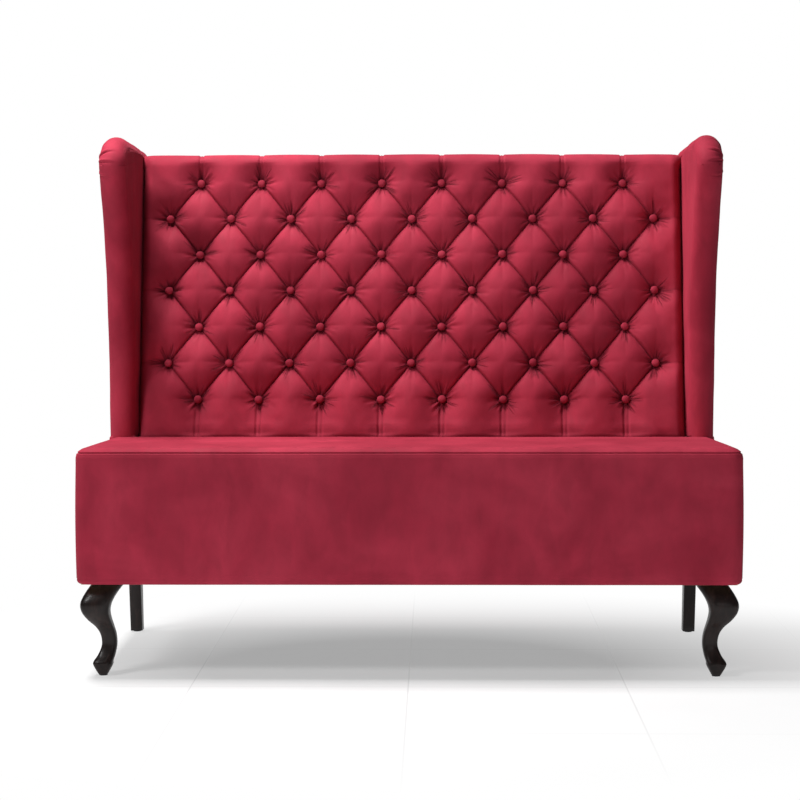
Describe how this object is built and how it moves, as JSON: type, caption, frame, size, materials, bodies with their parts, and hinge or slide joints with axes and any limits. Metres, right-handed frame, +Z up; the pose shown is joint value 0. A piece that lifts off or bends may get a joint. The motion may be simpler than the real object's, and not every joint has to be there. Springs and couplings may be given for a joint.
{
  "type": "banquette",
  "caption": "High-back upholstered bench with a deep-buttoned leaning back, two curved padded wings, a thick box seat, S-shaped front legs and raked rear legs.",
  "frame": {"origin": "on the floor, under the middle of the whole piece's length and depth", "axes": "+X along the length, towards the right end as a viewer in front sees it; +Y from the seat's front to the back; +Z up"},
  "size_m": [1.4, 0.7631, 1.1661],
  "materials": {
    "velvet": "red velvet, short pile with a soft sheen",
    "foam": "open-cell upholstery foam",
    "plywood": "raw birch plywood",
    "timber": "planed pine",
    "stained_wood": "dark stain with satin lacquer",
    "steel": "zinc plated",
    "webbing": "woven elastic",
    "dust_cloth": "thin spun-bonded cloth",
    "glide": "nailed nylon glide"
  },
  "bodies": {
    "root": {"seat_front_board": "plywood", "seat_rear_board": "plywood", "seat_end_board_left": "plywood", "seat_end_board_right": "plywood", "seat_webbing_rail": "timber", "seat_cross_members": "timber", "leg_blocks": "timber", "seat_webbing_long": "webbing", "seat_webbing_cross": "webbing", "seat_foam": "foam", "seat_side_padding": "foam", "seat_top_cover": "velvet", "seat_border_cover": "velvet", "dust_cover": "dust_cloth", "front_leg_left": "stained_wood", "front_leg_right": "stained_wood", "rear_leg_left": "stained_wood", "rear_leg_right": "stained_wood", "foot_glides": "glide", "leg_bolts": "steel", "leg_tee_nuts": "steel", "back_post_left": "timber", "back_post_right": "timber", "back_top_rail": "timber", "back_bottom_rail": "timber", "back_studs": "timber", "rail_dowels": "timber", "back_panel": "plywood", "back_foam": "foam", "back_tufted_pad": "velvet", "back_buttons": "velvet", "button_ties": "webbing", "outside_back_cover": "velvet", "back_bolts": "steel", "back_bolt_nuts": "steel", "wing_board_left": "plywood", "wing_board_right": "plywood", "wing_inner_foam_left": "foam", "wing_inner_foam_right": "foam", "wing_outer_foam_left": "foam", "wing_outer_foam_right": "foam", "wing_edge_roll_left": "foam", "wing_edge_roll_right": "foam", "wing_cover_left": "velvet", "wing_cover_right": "velvet", "wing_screws": "steel", "frame_screws": "steel"}
  },
  "joints": []
}
